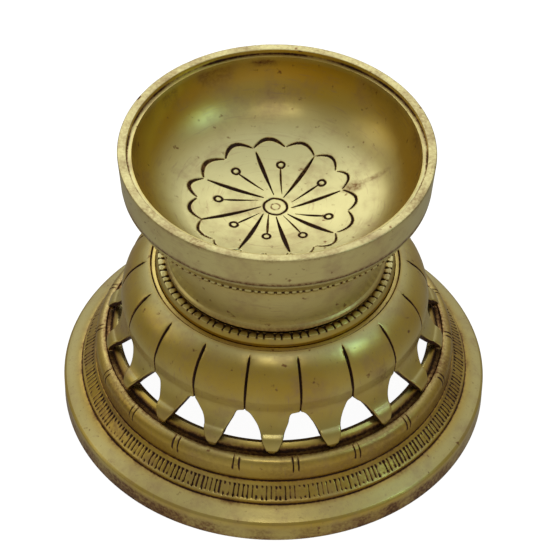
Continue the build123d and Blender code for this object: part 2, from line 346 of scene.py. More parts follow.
@dataclass(frozen=True)
class AgedBrass:
    """Satin brass that has yellowed, with brown tarnish where polish doesn't reach, plus painted shade and
    a painted sheen.
    """

    name: str
    making: Making
    # the pale colour is rubbed brass and also the painted sheen on level faces; the amber colour is deep
    # yellow and also painted shade; the stain and tarnish colours are tarnish and also painted shade
    pale: Colour = (0.70, 0.64, 0.31, 1.0)
    bright: Colour = (0.62, 0.51, 0.165, 1.0)
    warm: Colour = (0.55, 0.40, 0.09, 1.0)
    amber_and_shade: Colour = (0.60, 0.375, 0.028, 1.0)
    scuff: Colour = (0.42, 0.27, 0.15, 1.0)
    tarnish_and_shade: Colour = (0.045, 0.018, 0.008, 1.0)
    stain_and_shade: Colour = (0.25, 0.13, 0.05, 1.0)
    roughness: float = 0.35
    # sizes of the patterns, in features per metre
    cloud_scale: float = 34.0
    dent_scale: float = 150.0
    speck_scale: float = 420.0
    peel_scale: float = 700.0
    fray_scale: float = 900.0
    streak_scale: float = 1100.0
    ring_scale: float = 1500.0
    # how far streaks are drawn out: down the petals, and round the axis
    petal_draw: float = 0.15
    ring_draw: float = 0.12
    # strength and depth in metres of the relief
    dent_strength: float = 0.24
    dent_depth: float = 0.00035
    grain_strength: float = 0.10
    grain_depth: float = 0.00008

    def material(self) -> bpy.types.Material:
        """Builds the node material.

        Returns:
            A material that reads object coordinates and the grime, amber and rubbed shares, which also
            carry painted shade and a painted sheen.
        """
        material = bpy.data.materials.new(self.name)
        material.use_nodes = True
        tree = material.node_tree
        shader = tree.nodes["Principled BSDF"]
        coords = tree.nodes.new("ShaderNodeTexCoord").outputs["Object"]
        # worn carries the grime share, which holds painted shade as well as tarnish
        worn = self._wander_edge(tree, coords, self._share(tree, "grime_and_shade"))
        clouds = self._noise(tree, coords, self.cloud_scale, 4.0, 0.55)
        cloudy = self._mix(tree, self._stretch(tree, clouds, 0.35, 0.68), self.bright, self.warm)
        # the amber share turns the colour deep yellow, partly as painted shade; the rubbed share makes
        # level faces pale as a painted sheen, and wiped pieces pale as wear
        golden = self._mix(tree, self._share(tree, "amber_and_shade"), cloudy, self.amber_and_shade)
        tone = self._mix(tree, self._share(tree, "rubbed_and_sheen"), golden, self.pale)
        blotch = self._noise(tree, coords, self.cloud_scale * 2.7, 6.0, 0.65)
        mottled = self._mix(tree, self._stretch(tree, blotch, 0.46, 0.74, 0.0, 0.5), tone, self.scuff)
        streaks = self._noise(tree, self._brushed(tree, coords), self.streak_scale, 3.0, 0.6)
        streaky = self._stretch(tree, streaks, 0.56, 0.80, 0.0, 0.55)
        scuffed = self._mix(tree, streaky, mottled, self.scuff)
        blotched = self._mix(tree, self._stretch(tree, blotch, 0.66, 0.95), scuffed, self.stain_and_shade)
        specks = self._noise(tree, coords, self.speck_scale, 2.0, 0.5)
        speckled = self._mix(tree, self._stretch(tree, specks, 0.66, 0.80), blotched, self.stain_and_shade)
        half = self._mix(tree, self._stretch(tree, worn, 0.04, 0.48), speckled, self.stain_and_shade)
        colour = self._mix(tree, self._stretch(tree, worn, 0.30, 0.80), half, self.tarnish_and_shade)
        tree.links.new(colour, shader.inputs["Base Color"])
        tree.links.new(self._stretch(tree, worn, 0.55, 1.0, 1.0, 0.45), shader.inputs["Metallic"])
        haze = self._stretch(tree, blotch, 0.30, 0.75, self.roughness - 0.04, self.roughness + 0.09)
        rough = tree.nodes.new("ShaderNodeMath")
        rough.operation = "ADD"
        tree.links.new(haze, rough.inputs[0])
        tree.links.new(self._stretch(tree, worn, 0.1, 0.9, 0.0, 0.35), rough.inputs[1])
        tree.links.new(rough.outputs[0], shader.inputs["Roughness"])
        tree.links.new(self._relief(tree, coords), shader.inputs["Normal"])
        return material

    def _share(self, tree: bpy.types.NodeTree, name: str) -> bpy.types.NodeSocket:
        """Reads one of the shares stored on the vertices."""
        node = tree.nodes.new("ShaderNodeAttribute")
        node.attribute_name = name
        return node.outputs["Fac"]

    def _brushed(self, tree: bpy.types.NodeTree, coords: bpy.types.NodeSocket) -> bpy.types.NodeSocket:
        """Coordinates drawn out round the axis on turned metal, and down the petals on cast metal."""
        if self.making is Making.CAST:
            stretch = tree.nodes.new("ShaderNodeVectorMath")
            stretch.operation = "MULTIPLY"
            stretch.inputs[1].default_value = (1.0, 1.0, self.petal_draw)
            tree.links.new(coords, stretch.inputs[0])
            return stretch.outputs[0]
        split = tree.nodes.new("ShaderNodeSeparateXYZ")
        tree.links.new(coords, split.inputs[0])
        flat = tree.nodes.new("ShaderNodeCombineXYZ")
        tree.links.new(split.outputs["X"], flat.inputs["X"])
        tree.links.new(split.outputs["Y"], flat.inputs["Y"])
        length = tree.nodes.new("ShaderNodeVectorMath")
        length.operation = "LENGTH"
        tree.links.new(flat.outputs[0], length.inputs[0])
        slow = tree.nodes.new("ShaderNodeVectorMath")
        slow.operation = "SCALE"
        slow.inputs["Scale"].default_value = self.ring_draw
        tree.links.new(flat.outputs[0], slow.inputs[0])
        ring = tree.nodes.new("ShaderNodeCombineXYZ")
        tree.links.new(length.outputs["Value"], ring.inputs["X"])
        tree.links.new(split.outputs["Z"], ring.inputs["Z"])
        both = tree.nodes.new("ShaderNodeVectorMath")
        tree.links.new(ring.outputs[0], both.inputs[0])
        tree.links.new(slow.outputs[0], both.inputs[1])
        return both.outputs[0]

    def _noise(self, tree: bpy.types.NodeTree, coords: bpy.types.NodeSocket, scale: float,
               detail: float, roughness: float) -> bpy.types.NodeSocket:
        """A noise pattern on the given coordinates; scale is in features per metre."""
        node = tree.nodes.new("ShaderNodeTexNoise")
        node.inputs["Scale"].default_value = scale
        node.inputs["Detail"].default_value = detail
        node.inputs["Roughness"].default_value = roughness
        tree.links.new(coords, node.inputs["Vector"])
        return node.outputs["Fac"]

    def _stretch(self, tree: bpy.types.NodeTree, value: bpy.types.NodeSocket, low: float,
                 high: float, to_low: float = 0.0, to_high: float = 1.0) -> bpy.types.NodeSocket:
        """Maps low to high onto to_low to to_high, clamped and smooth."""
        node = tree.nodes.new("ShaderNodeMapRange")
        node.interpolation_type = "SMOOTHSTEP"
        for socket, number in zip(("From Min", "From Max", "To Min", "To Max"),
                                  (low, high, to_low, to_high)):
            node.inputs[socket].default_value = number
        tree.links.new(value, node.inputs["Value"])
        return node.outputs["Result"]

    def _mix(self, tree: bpy.types.NodeTree, factor: bpy.types.NodeSocket,
             first: bpy.types.NodeSocket | Colour, second: Colour) -> bpy.types.NodeSocket:
        """Mixes a colour, or the colour from a socket, towards a second colour."""
        node = tree.nodes.new("ShaderNodeMix")
        node.data_type = "RGBA"
        tree.links.new(factor, node.inputs["Factor"])
        if isinstance(first, bpy.types.NodeSocket):
            tree.links.new(first, node.inputs["A"])
        else:
            node.inputs["A"].default_value = first
        node.inputs["B"].default_value = second
        return node.outputs["Result"]

    def _wander_edge(self, tree: bpy.types.NodeTree, coords: bpy.types.NodeSocket,
                     grime_and_shade: bpy.types.NodeSocket) -> bpy.types.NodeSocket:
        """Breaks up the edge of tarnished and painted-shade areas with fine noise, leaving clean metal
        clean.
        """
        noise = self._noise(tree, coords, self.fray_scale, 3.0, 0.6)
        swing = self._stretch(tree, noise, 0.3, 0.7, 0.72, 1.28)
        product = tree.nodes.new("ShaderNodeMath")
        product.operation = "MULTIPLY"
        tree.links.new(swing, product.inputs[0])
        tree.links.new(grime_and_shade, product.inputs[1])
        return product.outputs[0]

    def _relief(self, tree: bpy.types.NodeTree, coords: bpy.types.NodeSocket) -> bpy.types.NodeSocket:
        """Fine relief: tool rings on turned metal, a soft orange peel on cast metal."""
        if self.making is Making.TURNED:
            fine = self._noise(tree, self._brushed(tree, coords), self.ring_scale, 2.0, 0.6)
        else:
            fine = self._noise(tree, coords, self.peel_scale, 3.0, 0.6)
        broad = self._noise(tree, coords, self.dent_scale, 3.0, 0.5)
        dents = self._bump(tree, broad, self.dent_strength, self.dent_depth)
        grain = self._bump(tree, fine, self.grain_strength, self.grain_depth)
        tree.links.new(dents.outputs["Normal"], grain.inputs["Normal"])
        return grain.outputs["Normal"]

    def _bump(self, tree: bpy.types.NodeTree, height: bpy.types.NodeSocket, strength: float,
              depth: float) -> bpy.types.Node:
        """A bump node fed with a height pattern; depth is in metres."""
        node = tree.nodes.new("ShaderNodeBump")
        node.inputs["Strength"].default_value = strength
        node.inputs["Distance"].default_value = depth
        tree.links.new(height, node.inputs["Height"])
        return node


TURNED_BRASS = AgedBrass("turned_brass", Making.TURNED)
CAST_BRASS = AgedBrass("cast_brass", Making.CAST, roughness=0.33)
FIXING_BRASS = AgedBrass("fixing_brass", Making.TURNED, roughness=0.48, cloud_scale=90.0)


def finish_piece(piece: bpy.types.Object, material: bpy.types.Material, body: str,
                 node: str) -> None:
    """Gives a piece its material, its body and the node it stands for."""
    piece.data.materials.append(material)
    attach(piece, body)
    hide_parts(node)
    LOG.info("%s: %d triangles on %s", piece.name, triangle_count(piece), body)


# ---------------------------------------------------------------- bowl

@dataclass(frozen=True)
class Cut:
    """One chisel cut on the bowl's floor, along a curve seen from above, in millimetres."""

    start: Point
    bend: Point
    end: Point
    width: float
    depth: float
    fullest: float = 0.5

    def press(self, x: np.ndarray, y: np.ndarray) -> tuple[np.ndarray, np.ndarray]:
        """Depth and grime of this cut at points of the floor.

        Args:
            x: Coordinates to the right.
            y: Coordinates away from the viewer.

        Returns:
            Depth in millimetres and grime from 0 to 1, for every point.
        """
        parts = 14
        depth = np.zeros_like(x)
        grime_and_shade = np.zeros_like(x)
        previous = self._at(0.0)
        for index in range(1, parts + 1):
            t = index / parts
            here = self._at(t)
            along = np.subtract(here, previous)
            square = float(along @ along)
            share = np.clip(((x - previous[0]) * along[0] + (y - previous[1]) * along[1]) / square, 0, 1)
            gap = np.hypot(x - previous[0] - share * along[0], y - previous[1] - share * along[1])
            width = self._width((index - 1 + share) / parts)
            depth = np.maximum(depth, self.depth * np.clip(1.15 - gap / width, 0, 1))
            grime_and_shade = np.maximum(grime_and_shade, fade(gap / width, 1.45, 0.75))
            previous = here
        return depth, grime_and_shade

    def _at(self, t: float) -> np.ndarray:
        """Point of the curve, which passes through bend at its middle."""
        start, bend, end = map(np.array, (self.start, self.bend, self.end))
        control = 2 * bend - (start + end) / 2
        return (1 - t) ** 2 * start + 2 * t * (1 - t) * control + t * t * end

    def _width(self, t: np.ndarray) -> np.ndarray:
        """Half width along the cut, thin at both ends."""
        skew = t ** (math.log(0.5) / math.log(self.fullest))
        return self.width * (0.22 + 0.78 * np.sin(np.pi * skew) ** 0.8)


@dataclass
class Bowl:
    """Turned cup with a rebated rim and a flower engraved on its floor."""

    rim_r: float = 49.85
    seam_r: float = 48.95
    rim_in_r: float = 47.05
    ledge_r: float = 45.4
    rebate: float = 1.6
    floor_curve: float = 112.0
    bend_r: float = 30.0
    under_r: float = 44.6
    wall: float = 2.0
    floor_lift: float = 2.0
    floor_spacing: float = 0.31
    wall_steps: int = 13
    back_steps: int = 6
    facets: int = 660
    lobe_rise: float = 2.7
    ring_r: float = 1.2
    heart_r: float = 3.7
    heart: Point = (-0.25, -0.25)
    flower_r: float = 29.5

    # each division between petals: inner radius and angle, outer radius and angle; all hand drawn
    DIVISIONS = ((5.4, 100, 23.3, 107), (4.6, 60, 23.5, 60), (5.0, -8, 20.7, 15), (5.4, -45, 22.7, -38),
                 (5.2, -89, 23.4, -79), (5.6, -137, 25.0, -117), (5.0, -174, 25.3, -158),
                 (5.6, 138, 23.6, 158))
    # each stamen: inner radius and angle, radius and angle of the ring at its end
    STAMENS = ((5.9, 73, 17.7, 86), (5.3, 21, 17.3, 34), (7.1, -31, 17.5, -19), (5.0, -63, 16.5, -59),
               (4.5, -122, 15.0, -101), (6.5, -146, 16.5, -143), (6.4, 158, 18.4, 176),
               (8.0, 121, 19.2, 133))
    # spills beside the flower: place, half length, half width and darkness; then their lean in degrees
    SPILLS = ((24.5, 6.5, 4.6, 3.0, 0.32), (31.0, 9.0, 6.5, 1.5, 0.26))
    SPILL_LEAN = 16
    # degrees about the axis of the crust under the rim and of the bruise on the rim
    CRUST_AT = 97
    BRUISE_AT = 153
    # where the scallops of the outline meet: angle and radius
    CUSPS = ((-158, 25.4), (-136, 27.0), (-116, 25.4), (-98, 24.4), (-80, 24.2), (-59, 23.8), (-37, 23.6),
             (-10, 23.2), (16, 21.8), (37, 23.6), (60, 24.2), (84, 25.0), (108, 25.2), (132, 25.0),
             (158, 25.2), (179, 25.2))

    def build(self) -> bpy.types.Object:
        """Turns the cup, engraves its floor and finishes it.

        Returns:
            The bowl's mesh object.
        """
        low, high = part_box("bowl")
        self.rim_z = high.z / MM
        self.floor_z = low.z / MM + self.floor_lift
        self.seam_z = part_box("bowl_foot")[1].z / MM
        piece = turned("bowl_cup", self._outline(), self.facets)
        self._nick_rim(piece)
        depth, grime_and_shade = self._engraving(piece)
        cut_in(piece, depth)
        paint(piece, np.maximum(grime_and_shade, self._stains_and_shade(piece)), self._yellowing_and_shade(piece), 0.55)
        smooth(piece)
        finish_piece(piece, TURNED_BRASS.material(), "bowl", "bowl")
        return piece

    def _outline(self) -> list[Point]:
        """Section of the cup, from the middle of the floor round the rim to the underside."""
        lift = self.floor_z + self.floor_curve
        slope = math.asin(self.bend_r / self.floor_curve)
        start = (self.bend_r, lift - self.floor_curve * math.cos(slope))
        ledge_z = self.rim_z - self.rebate
        across, rise = self.ledge_r - start[0], ledge_z - start[1]
        radius = (across ** 2 + rise ** 2) / (2 * (rise * math.cos(slope) - across * math.sin(slope)))
        centre = (start[0] - radius * math.sin(slope), start[1] + radius * math.cos(slope))
        first = slope - math.pi / 2
        last = math.atan2(ledge_z - centre[1], self.ledge_r - centre[0])
        points = [(0.0, self.floor_z)]
        dish = int(self.bend_r / self.floor_spacing)
        for index in range(1, dish + 1):
            angle = slope * index / dish
            points.append((self.floor_curve * math.sin(angle), lift - self.floor_curve * math.cos(angle)))
        for index in range(1, self.wall_steps + 1):
            angle = first + (last - first) * index / self.wall_steps
            points.append((centre[0] + radius * math.cos(angle), centre[1] + radius * math.sin(angle)))
        rim = [(self.ledge_r, ledge_z, 0, 1), (self.rim_in_r - 0.1, ledge_z - 0.15, 0.12, 0.8),
               (self.rim_in_r, self.rim_z, 0.22, 0.8), (self.rim_r, self.rim_z, 0.30, 0.7),
               (self.seam_r, self.seam_z + 0.25, 0.12, 2.0), (self.seam_r - 0.5, self.seam_z, 0, 0.5),
               (self.under_r, self.seam_z, 0, 5)]
        points += contour(rim, closed=False, turn_step=30)[1:]
        outer, reach = radius + self.wall, self.floor_curve + self.wall
        from_angle = -math.asin((centre[1] - self.seam_z) / outer)
        for index in range(1, self.back_steps + 1):
            angle = from_angle + (first - from_angle) * index / self.back_steps
            points.append((centre[0] + outer * math.cos(angle), centre[1] + outer * math.sin(angle)))
        for index in reversed(range(self.back_steps)):
            angle = slope * index / self.back_steps
            points.append((reach * math.sin(angle), lift - reach * math.cos(angle)))
        return points

    def _nick_rim(self, piece: bpy.types.Object) -> None:
        """Wears the rim's edges unevenly."""
        at = places(piece)
        radius, height, angle = round_axis(at)
        edge = fade(height, self.rim_z - 0.6, self.rim_z) * (radius > self.ledge_r)
        worn = np.clip(ripple(angle, 5, 60), 0, 3) * 0.07
        worn += np.clip(ripple(angle, 6, 140) - 1.1, 0, 2) * 0.20
        outer = edge * fade(radius, self.rim_r - 0.7, self.rim_r)
        inner = edge * fade(radius, self.rim_in_r + 0.7, self.rim_in_r)
        at[:, 2] -= worn * (outer + inner * 0.7)
        put(piece, at)

    def _polar(self, radius: float, degrees: float) -> Point:
        """A point of the floor from its radius and angle."""
        angle = math.radians(degrees)
        return (radius * math.cos(angle), radius * math.sin(angle))

    def _cuts(self) -> list[Cut]:
        """Every straight and curved cut of the flower."""
        rng = np.random.default_rng(8)
        cuts = []
        for inner_r, inner, outer_r, outer in self.DIVISIONS:
            start, end = self._polar(inner_r, inner), self._polar(outer_r, outer)
            middle = tuple((np.array(start) + end) / 2 + rng.uniform(-0.25, 0.25, 2))
            cuts.append(Cut(start, middle, end, rng.uniform(0.50, 0.70), 0.55, rng.uniform(0.5, 0.68)))
        for inner_r, inner, outer_r, outer in self.STAMENS:
            start, end = self._polar(inner_r, inner), self._polar(outer_r - self.ring_r - 0.1, outer)
            middle = tuple((np.array(start) + end) / 2 + rng.uniform(-0.15, 0.15, 2))
            cuts.append(Cut(start, middle, end, rng.uniform(0.28, 0.38), 0.35, 0.66))
        turns = self.CUSPS + ((self.CUSPS[0][0] + 360, self.CUSPS[0][1]),)
        for (first, first_r), (second, second_r) in zip(turns, turns[1:]):
            bulge = (first_r + second_r) / 2 + self.lobe_rise + rng.uniform(-0.4, 0.4)
            heavy = 0.34 + 0.26 * max(0.0, math.cos(math.radians((first + second) / 2 - 130)))
            cuts.append(Cut(self._polar(first_r, first + 0.7), self._polar(bulge, (first + second) / 2),
                            self._polar(second_r, second - 0.7), heavy + rng.uniform(-0.04, 0.06), 0.5))
        return cuts

    def _engraving(self, piece: bpy.types.Object) -> tuple[np.ndarray, np.ndarray]:
        """Depth and grime of the whole flower on the mesh."""
        at = places(piece)
        radius, height, _ = round_axis(at)
        floor = (radius < self.flower_r + 1) & (facing(piece)[:, 2] > 0.5) & (height < self.rim_z - 12)
        x, y = at[floor, 0], at[floor, 1]
        depth, grime_and_shade = np.zeros(len(x)), np.zeros(len(x))
        rng = np.random.default_rng(9)
        for cut in self._cuts():
            deep, dark = cut.press(x, y)
            depth, grime_and_shade = np.maximum(depth, deep), np.maximum(grime_and_shade, dark * rng.uniform(0.55, 0.95))
        rings = [(*self.heart, self.heart_r, 0.30, 0.45, 0.95), (*self.heart, 1.4, 0.24, 0.10, 0.38)]
        for _, _, outer_r, outer in self.STAMENS:
            rings.append((*self._polar(outer_r, outer), self.ring_r, 0.34, 0.40, 0.95))
        for centre_x, centre_y, ring_r, width, deep, dark in rings:
            gap = np.abs(np.hypot(x - centre_x, y - centre_y) - ring_r) / width
            depth = np.maximum(depth, deep * np.clip(1.1 - gap, 0, 1))
            grime_and_shade = np.maximum(grime_and_shade, dark * fade(gap, 1.4, 0.6))
        all_depth, all_grime = np.zeros(len(at)), np.zeros(len(at))
        all_depth[floor], all_grime[floor] = depth, grime_and_shade
        return all_depth, all_grime

    def _stains_and_shade(self, piece: bpy.types.Object) -> np.ndarray:
        """Grime left by the seam, the rebate's corner and old wax, with the underside painted dark as
        painted shade.
        """
        at = places(piece)
        radius, height, angle = round_axis(at)
        ledge_z = self.rim_z - self.rebate
        corner = near_line(radius, height, (self.rim_in_r, ledge_z), 0.42)
        grime_and_shade = corner * (0.68 + 0.30 * ripple(angle, 11, 24))
        top = (radius > self.rim_in_r + 0.1) & (height > self.rim_z - 0.5)
        grime_and_shade = np.maximum(grime_and_shade, top * np.clip(0.19 + 0.05 * ripple(angle, 12, 30), 0, 0.4))
        grime_and_shade = np.maximum(grime_and_shade, near_line(radius, height, (self.seam_r, self.seam_z), 0.40) * 0.9)
        cup = (radius < self.ledge_r) & (height > self.floor_z - 1) & (facing(piece)[:, 2] > 0)
        grime_and_shade = np.maximum(grime_and_shade, self._spilled(at) * cup)
        streaks = np.clip(0.4 + ripple(angle, 13, 30), 0, 1.5)
        wax = 0.16 * fade(height, self.rim_z - 14, self.rim_z - 3) * streaks
        crust = 0.5 * np.exp(-((wrap(angle - self.CRUST_AT) / 5) ** 2
                               + ((height - self.rim_z + 3.6) / 1.3) ** 2))
        grime_and_shade = np.maximum(grime_and_shade, (wax + crust) * cup)
        rim_edge = (radius > self.rim_r - 0.45) * (height > self.rim_z - 1)
        bruise = np.exp(-((wrap(angle - self.BRUISE_AT) / 1.2) ** 2)) * rim_edge
        # painted shade: the faces turned down under the cup are painted dark
        under = (facing(piece)[:, 2] < 0.1) & (radius < self.under_r + 0.2)
        return np.where(under, 0.6, np.maximum(grime_and_shade, 0.9 * bruise))

    def _spilled(self, at: np.ndarray) -> np.ndarray:
        """Two brown spills, as soft ellipses."""
        lean = math.radians(self.SPILL_LEAN)
        cos_l, sin_l = math.cos(lean), math.sin(lean)
        grime_and_shade = np.zeros(len(at))
        for spill_x, spill_y, long, short, dark in self.SPILLS:
            dx, dy = at[:, 0] - spill_x, at[:, 1] - spill_y
            along, across = dx * cos_l + dy * sin_l, dy * cos_l - dx * sin_l
            grime_and_shade = np.maximum(grime_and_shade, dark * fade(np.hypot(along / long, across / short), 1.4, 0.2))
        return grime_and_shade

    def _yellowing_and_shade(self, piece: bpy.types.Object) -> np.ndarray:
        """Deeper, darker yellow painted up the steep inside of the cup as painted shade, leaving the level
        floor paler.
        """
        radius, height, angle = round_axis(places(piece))
        inside = (radius < self.rim_in_r + 0.05) & (height > self.floor_z - 1)
        return fade(facing(piece)[:, 2], 0.93, 0.55) * inside * (0.85 + 0.15 * ripple(angle, 15, 7))


# ---------------------------------------------------------------- foot

@dataclass
class Foot:
    """Turned drum under the bowl, with a notched bead at its head and a lip at its base."""

    lip_r: float = 35.85
    stud_r: float = 5.0
    hub_r: float = 15.0
    bead_r: float = 45.65
    seam_r: float = 48.95
    bead_drop: float = 6.6
    lip_lift: float = 6.9
    floor_over_lip: float = 4.0
    neck_r: float = 37.0
    neck_drop: float = 12.3
    notches: int = 124
    facets: int = 992

    def build(self) -> bpy.types.Object:
        """Turns the drum, strikes the bead's notches and finishes it.

        Returns:
            The foot's mesh object.
        """
        low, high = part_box("bowl_foot")
        self.seam_z = high.z / MM
        self.hub_z = low.z / MM
        self.lip_z = self.hub_z + self.lip_lift
        self.bead_z = self.seam_z - self.bead_drop
        piece = turned("bowl_foot_turned", self._outline(), self.facets)
        at = places(piece)
        notches = self._strike_bead(piece, at)
        radius, height, angle = round_axis(at)
        lip = near_line(radius, height, (self.lip_r - 0.3, self.lip_z + 1.0), 1.5)
        grime_and_shade = np.maximum(notches, self._stains_and_shade(radius, height, angle, lip))
        # painted shade: the hollow inside and the faces below the lip's bottom are painted dark
        hidden = (radius < self.lip_r - 2.2) | (height < self.lip_z + 0.05)
        # painted shadow: the concave neck under the bead's overhang is painted deeper yellow
        neck = near_line(radius, height, (self.neck_r, self.seam_z - self.neck_drop), 4.5)
        paint(piece, np.where(hidden, 0.9, grime_and_shade), np.maximum(0.75 * neck, 0.5 * lip), 0.45)
        smooth(piece)
        finish_piece(piece, TURNED_BRASS.material(), "bowl", "bowl_foot")
        return piece

    def _outline(self) -> list[Point]:
        """Section of the foot: hub, lip, concave neck, bead, seam under the bowl and hollow inside."""
        seam, floor = self.seam_z, self.lip_z + self.floor_over_lip
        return contour([
            (self.stud_r, self.hub_z, 0, 12), (self.hub_r, self.hub_z, 0, 12),
            (self.hub_r, self.lip_z, 0, 8), (self.lip_r - 0.7, self.lip_z, 0.25, 20),
            (self.lip_r, self.lip_z + 0.9, 0.35, 0.4), (self.lip_r - 0.25, self.lip_z + 1.7, 0.35, 0.4),
            (self.lip_r - 1.05, self.lip_z + 2.4, 0.2, 0.4),
            (36.4, seam - 14.4, 2.5, 2.5), (38.2, seam - 10.2, 2.6, 1), (43.0, seam - 8.9, 0.3, 1),
            (44.6, seam - 7.5, 0.2, 0.3), (self.bead_r, self.bead_z, 0.3, 0.2),
            (46.15, seam - 5.45, 0.2, 0.2), (45.9, seam - 4.85, 0.1, 0.2), (46.3, seam - 4.65, 0.1, 0.2),
            (self.seam_r - 0.1, seam - 0.5, 0.2, 0.9), (self.seam_r - 0.5, seam, 0, 0.6),
            (44.9, seam, 0, 4), (43.0, seam - 3.5, 0, 5), (39.5, seam - 7.2, 0, 5),
            (36.4, seam - 10.2, 0, 5), (34.2, seam - 12.8, 0, 5), (33.2, floor + 1.5, 0, 16),
            (31.5, floor, 0, 2), (self.stud_r, floor, 0, 30)], turn_step=28)

    def _strike_bead(self, piece: bpy.types.Object, at: np.ndarray) -> np.ndarray:
        """Strikes the notches into the bead.

        Args:
            piece: The turned foot.
            at: Its vertices before the notches are struck.

        Returns:
            Grime in the notches.
        """
        radius, height, angle = round_axis(at)
        gap, force = stroke_row(angle, self.notches, 0.16, 21)
        gap_mm = np.abs(np.radians(gap)) * self.bead_r
        band = fade(height, self.bead_z + 1.9, self.bead_z + 1.5) * fade(radius, 43.6, 44.6)
        band *= outwardness(at, facing(piece)) > 0
        cut_in(piece, 0.75 * np.clip(1.15 - gap_mm / 0.5, 0, 1) * band * force)
        return 0.85 * fade(gap_mm, 0.55, 0.2) * band * np.minimum(force, 1)

    def _stains_and_shade(self, radius: np.ndarray, height: np.ndarray, angle: np.ndarray,
                lip: np.ndarray) -> np.ndarray:
        """Grime on the seam and the lip, with a few dark chips at the front of the lip, and a painted
        contact shadow along the lip's heel.
        """
        grime_and_shade = near_line(radius, height, (self.seam_r, self.seam_z), 0.42) * 0.45
        wear = 0.5 + 0.5 * ripple(angle, 31, 12)
        front = fade(wrap(angle), -75, -60) * fade(wrap(angle), -25, -40)
        chips = np.clip(ripple(angle, 33, 70) - 0.9, 0, 1) * front
        brow = near_line(radius, height, (self.lip_r - 0.6, self.lip_z + 2.3), 0.4)
        # painted shadow: the lip's heel, where it meets the collar, is painted dark
        heel = near_line(radius, height, (self.lip_r - 0.3, self.lip_z), 0.6)
        return np.maximum.reduce([grime_and_shade, lip * (0.16 + 0.22 * wear), brow * chips, heel * 0.8])


# ---------------------------------------------------------------- collar

@dataclass
class Collar:
    """Ring on the crown of the skirt, nicked along its crest."""

    inner_r: float = 34.9
    crest_r: float = 37.3
    outer_r: float = 38.4
    nicks: int = 84
    facets: int = 1008

    def build(self) -> bpy.types.Object:
        """Turns the ring, cuts its nicks and finishes it.

        Returns:
            The collar's mesh object.
        """
        low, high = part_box("collar_ring")
        bottom, crest = low.z / MM, high.z / MM
        outline = contour([
            (self.inner_r, bottom, 0, 1), (self.inner_r, crest - 0.35, 0.2, 1.2),
            (self.inner_r + 0.45, crest, 0.2, 0.25), (self.crest_r + 0.6, crest, 0.5, 0.22),
            (self.outer_r + 0.25, crest - 1.9, 1.1, 0.3), (self.outer_r + 0.2, bottom + 0.45, 0.15, 0.5),
            (self.outer_r - 0.05, bottom, 0, 0.3)])
        piece = turned("collar_nicked", outline, self.facets)
        radius, height, angle = round_axis(places(piece))
        gap, force = stroke_row(angle, self.nicks, 0.14, 41)
        gap_mm = np.abs(np.radians(gap)) * self.crest_r
        across = (radius - self.crest_r + 0.3) / 1.2
        on_crest = fade(radius, self.crest_r + 0.95, self.crest_r + 0.55)
        on_crest *= fade(radius, self.inner_r + 0.3, self.inner_r + 0.6)
        width = 0.15 + 0.50 * np.clip(np.where(across < 0, -across, across * 0.6), 0, 1.1)
        strike = np.clip(1.1 - gap_mm / width, 0, 1) * on_crest * force
        cut_in(piece, 0.55 * strike)
        grime_and_shade = fade(gap_mm / width, 1.1, 0.5) * on_crest * np.minimum(force, 1)
        grime_and_shade = np.maximum(grime_and_shade, near_line(radius, height, (self.outer_r + 0.2, bottom + 0.9), 0.5) * 0.4)
        # painted shade: the bore, hidden under the drum, is painted dark
        bore = fade(height, crest - 0.6, crest - 1.2) * (radius < self.inner_r + 0.2)
        grime_and_shade = np.maximum(grime_and_shade, 0.9 * bore)
        # painted shade: the inner edge beside the drum's lip and the lower slopes are painted deeper yellow
        amber_and_shade = np.maximum(fade(radius, self.crest_r - 0.2, self.inner_r + 0.6),
                           fade(height, crest - 1.2, crest - 2.2))
        paint(piece, grime_and_shade, 0.9 * amber_and_shade)
        smooth(piece)
        finish_piece(piece, TURNED_BRASS.material(), "stand", "collar_ring")
        return piece


# ---------------------------------------------------------------- skirt

